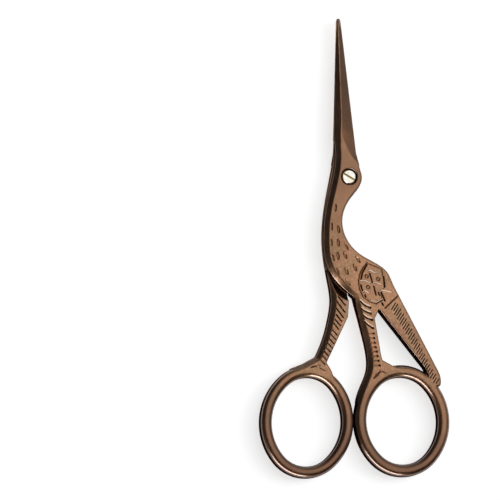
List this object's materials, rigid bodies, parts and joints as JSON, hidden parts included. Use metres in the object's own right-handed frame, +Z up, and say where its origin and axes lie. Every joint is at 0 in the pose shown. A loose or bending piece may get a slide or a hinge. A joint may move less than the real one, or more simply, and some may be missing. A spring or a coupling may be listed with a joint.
{
  "type": "stork embroidery scissors",
  "caption": "Slim embroidery scissors shaped as a standing stork: long beak blades, carved body and tail, oval finger rings and a slotted pivot screw.",
  "frame": {"origin": "on the pivot screw's axis, in the plane of the table the closed scissors lie on", "axes": "+X across the bird towards its tail, +Y along the closed blades to their points, +Z up from the table through the screw's head"},
  "size_m": [0.0476, 0.1141, 0.0042],
  "materials": {
    "bronze_steel": "satin copper bronze plating on forged steel",
    "screw_steel": "bright nickel plating"
  },
  "bodies": {
    "rear": {"rear_half": "bronze_steel", "pivot_screw": "screw_steel"},
    "front": {"front_half": "bronze_steel"}
  },
  "joints": [
    {"name": "pivot", "type": "hinge", "parent": "rear", "child": "front", "pos_m": [0, 0, 0], "axis": [0, 0, 1], "range_deg": [0, 90]}
  ]
}
